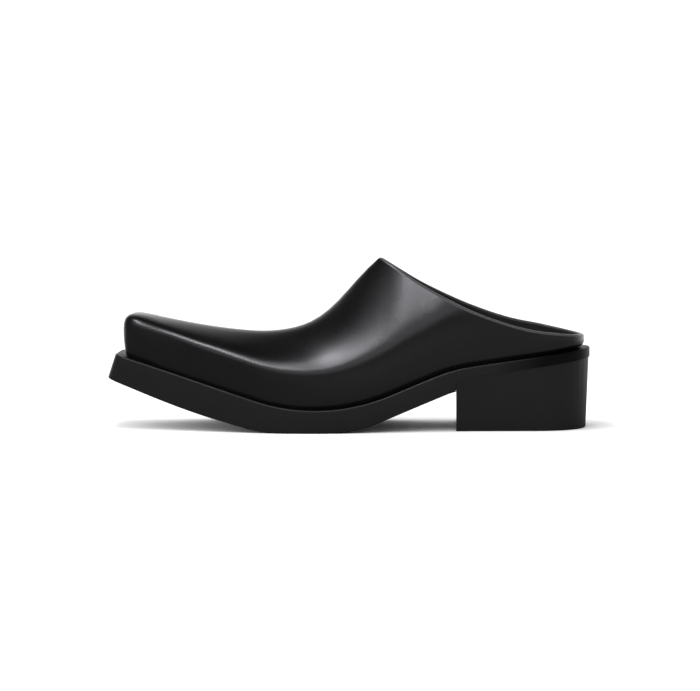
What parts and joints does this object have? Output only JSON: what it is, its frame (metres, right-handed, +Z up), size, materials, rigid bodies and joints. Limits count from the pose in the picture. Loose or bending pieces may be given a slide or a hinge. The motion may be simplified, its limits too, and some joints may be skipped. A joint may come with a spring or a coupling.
{
  "type": "mule shoe",
  "caption": "Backless leather mule with a square, turned-up toe, a pointed throat, a thick sole with a projecting rim and a low block heel.",
  "frame": {"origin": "on the floor, under the middle of the shoe's length and width", "axes": "+Z up, the toe points to -X and the heel to +X, the inner side of the foot is +Y"},
  "size_m": [0.2976, 0.0964, 0.1049],
  "materials": {
    "calf": "smooth, glossy calf leather",
    "lining": "smooth, half matt",
    "sole_edge": "satin, painted edge",
    "heel_block": "satin"
  },
  "bodies": {
    "root": {"upper": "calf", "insole": "lining", "sole": "sole_edge", "heel": "heel_block"}
  },
  "joints": []
}
